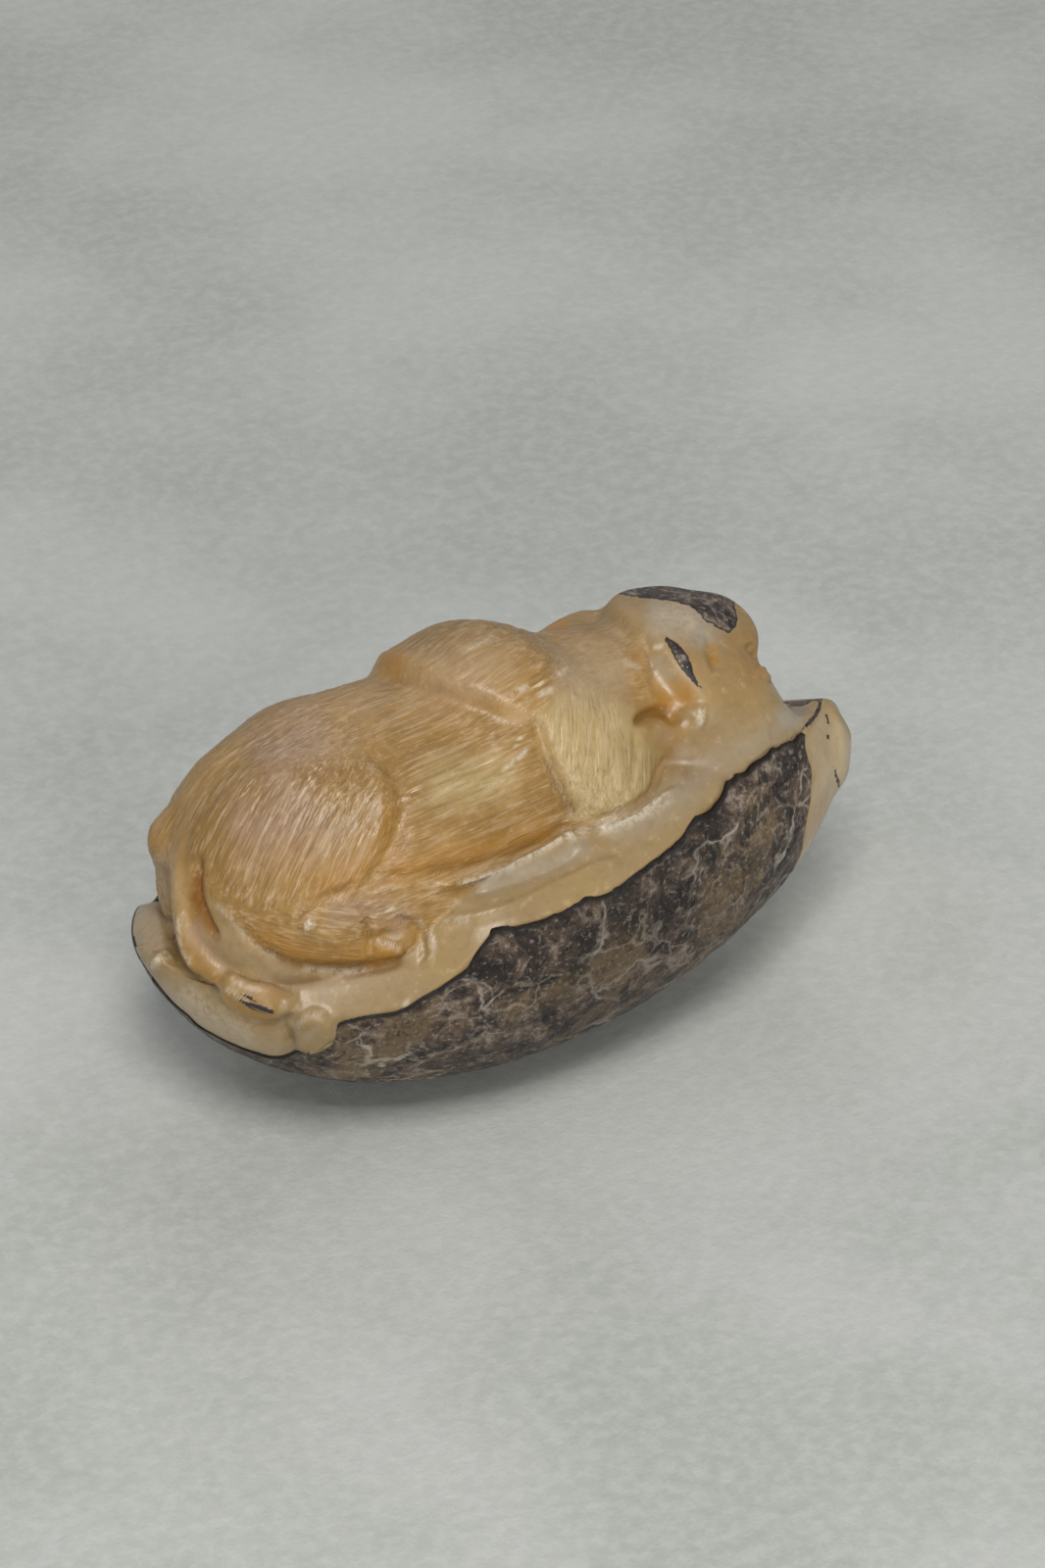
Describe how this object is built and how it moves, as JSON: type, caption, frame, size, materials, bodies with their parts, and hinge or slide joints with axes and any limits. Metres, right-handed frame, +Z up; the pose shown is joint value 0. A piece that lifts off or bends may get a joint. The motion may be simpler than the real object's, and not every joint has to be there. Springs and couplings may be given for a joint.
{
  "type": "carved palm-ivory nut with a resting buffalo",
  "caption": "Palm-ivory nut lying on its side, its upper half carved as a buffalo at rest, its lower half still in brown shell.",
  "frame": {"origin": "middle of the small resting flat on the underside, below the nut's widest place", "axes": "+X along the nut towards the animal's head and the nut's pointed end, -Y towards the carved near side, +Z up"},
  "size_m": [0.05, 0.0302, 0.0295],
  "materials": {
    "palm_ivory": "polished, semi-gloss, slightly translucent, with dark brown shell left on the lower half"
  },
  "bodies": {
    "root": {"buffalo_nut_carving": "palm_ivory"}
  },
  "joints": []
}
